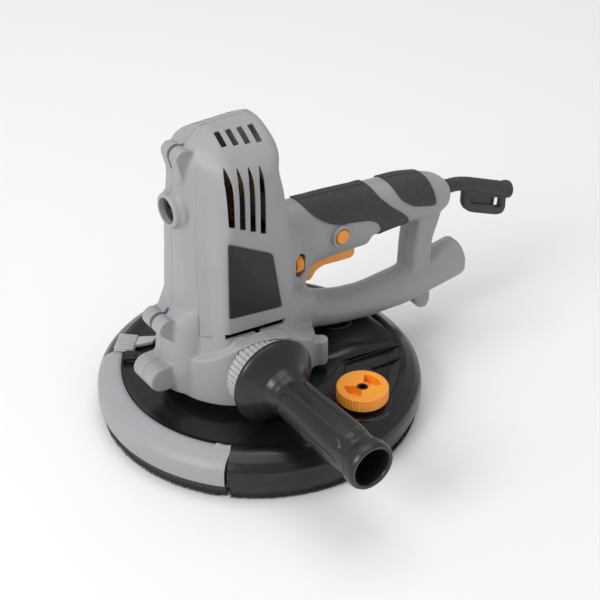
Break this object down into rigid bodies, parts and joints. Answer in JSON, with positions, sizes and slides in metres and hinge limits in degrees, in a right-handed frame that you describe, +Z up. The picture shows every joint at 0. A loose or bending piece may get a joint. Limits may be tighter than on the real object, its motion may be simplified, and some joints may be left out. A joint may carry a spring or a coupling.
{
  "type": "wall and ceiling disc sander",
  "caption": "Hand-held electric disc sander for walls and ceilings: upright motor housing, D-handle with dust outlet, brush-edged round shroud, knob and side handle.",
  "frame": {"origin": "where the disc's axis meets the sanding face", "axes": "+Z up along the spindle, +X towards the dust outlet and cord guard, -Y towards the side handle; the housing parts on y = 0"},
  "size_m": [0.3584, 0.298, 0.2415],
  "materials": {
    "grey_body": "satin moulded plastic",
    "light_grey": "satin moulded plastic",
    "black_gloss": "glossy moulded plastic",
    "dark_plastic": "satin",
    "black_rubber": "matt soft touch",
    "orange_plastic": "satin",
    "bristle": "nylon bristle",
    "steel": "turned",
    "gear_steel": "cut steel",
    "cast_aluminium": "as cast",
    "lamination": "laminated steel",
    "copper": "bare copper",
    "carbon": "pressed carbon",
    "brass": "bare brass",
    "circuit_board": "satin",
    "abrasive": "coated grit",
    "foam": "closed-cell foam"
  },
  "bodies": {
    "root": {"housing_left": "grey_body", "housing_right": "grey_body", "badge_left": "dark_plastic", "badge_right": "dark_plastic", "grip_pad_front_left": "black_rubber", "grip_pad_front_right": "black_rubber", "grip_pad_rear_left": "black_rubber", "grip_pad_rear_right": "black_rubber", "switch_module": "dark_plastic", "speed_board": "circuit_board", "cord_clamp": "dark_plastic", "cord_guard": "black_rubber", "gear_plate_low": "cast_aluminium", "bearing_nose": "cast_aluminium", "gear_plate_top": "cast_aluminium", "stator": "lamination", "motor_bearing_low": "steel", "motor_bearing_top": "steel", "spindle_bearing_low": "steel", "spindle_bearing_top": "steel", "brush_holder_front": "brass", "brush_holder_rear": "brass", "carbon_brush_front": "carbon", "carbon_brush_rear": "carbon", "brush_cap_front": "dark_plastic", "brush_cap_rear": "dark_plastic", "shroud": "black_gloss", "rim_brush": "bristle", "knob_screw": "steel", "handle_collar": "light_grey", "handle_stud": "steel", "side_handle": "black_gloss", "screw_top": "steel", "screw_mid": "steel", "screw_low": "steel", "screw_strut": "steel"},
    "disc": {"spindle": "steel", "spindle_gear": "gear_steel", "backing_plate": "dark_plastic", "foam_pad": "foam", "abrasive_disc": "abrasive"},
    "rotor": {"rotor_shaft": "steel", "rotor_core": "lamination", "rotor_windings": "copper", "commutator": "copper", "fan": "dark_plastic", "pinion": "steel"},
    "trigger_body": {"trigger": "orange_plastic"},
    "lock_body": {"lock_button": "orange_plastic"},
    "dial_body": {"speed_dial": "orange_plastic"},
    "knob_body": {"suction_knob": "orange_plastic"},
    "flap_body": {"edge_flap": "grey_body", "flap_brush": "bristle"},
    "latch_body": {"flap_latch": "light_grey"}
  },
  "joints": [
    {"name": "spindle_spin", "type": "hinge", "parent": "root", "child": "disc", "pos_m": [0, 0, 0], "axis": [0, 0, 1], "continuous": true},
    {"name": "rotor_spin", "type": "hinge", "parent": "root", "child": "rotor", "pos_m": [-0.033, 0, 0.12], "axis": [0, 0, 1], "continuous": true},
    {"name": "trigger_pull", "type": "hinge", "parent": "root", "child": "trigger_body", "pos_m": [0.035, 0, 0.113], "axis": [0, -1, 0], "range_deg": [0, 6], "stiffness_Nm_per_rad": 5, "springref_deg": -2.86},
    {"name": "lock_press", "type": "slide", "parent": "root", "child": "lock_body", "axis": [0, 1, 0], "range_m": [0, 0.003], "stiffness_N_per_m": 400, "springref_m": -0.002},
    {"name": "speed_turn", "type": "hinge", "parent": "root", "child": "dial_body", "pos_m": [0.0232, -0.0135, 0.1174], "axis": [1, 0, 0], "range_deg": [-135, 135]},
    {"name": "suction_turn", "type": "hinge", "parent": "root", "child": "knob_body", "pos_m": [0.031, -0.085, 0.043], "axis": [0, 0, 1], "range_deg": [0, 90]},
    {"name": "flap_pull", "type": "slide", "parent": "root", "child": "flap_body", "axis": [-1, 0, 0], "range_m": [0, 0.06]},
    {"name": "latch_slide", "type": "slide", "parent": "root", "child": "latch_body", "axis": [0.6947, 0.7193, 0], "range_m": [0, 0.005], "stiffness_N_per_m": 500, "springref_m": -0.002}
  ],
  "couplings": [
    {"joint": "rotor_spin", "follows": "spindle_spin", "ratio": -5}
  ]
}
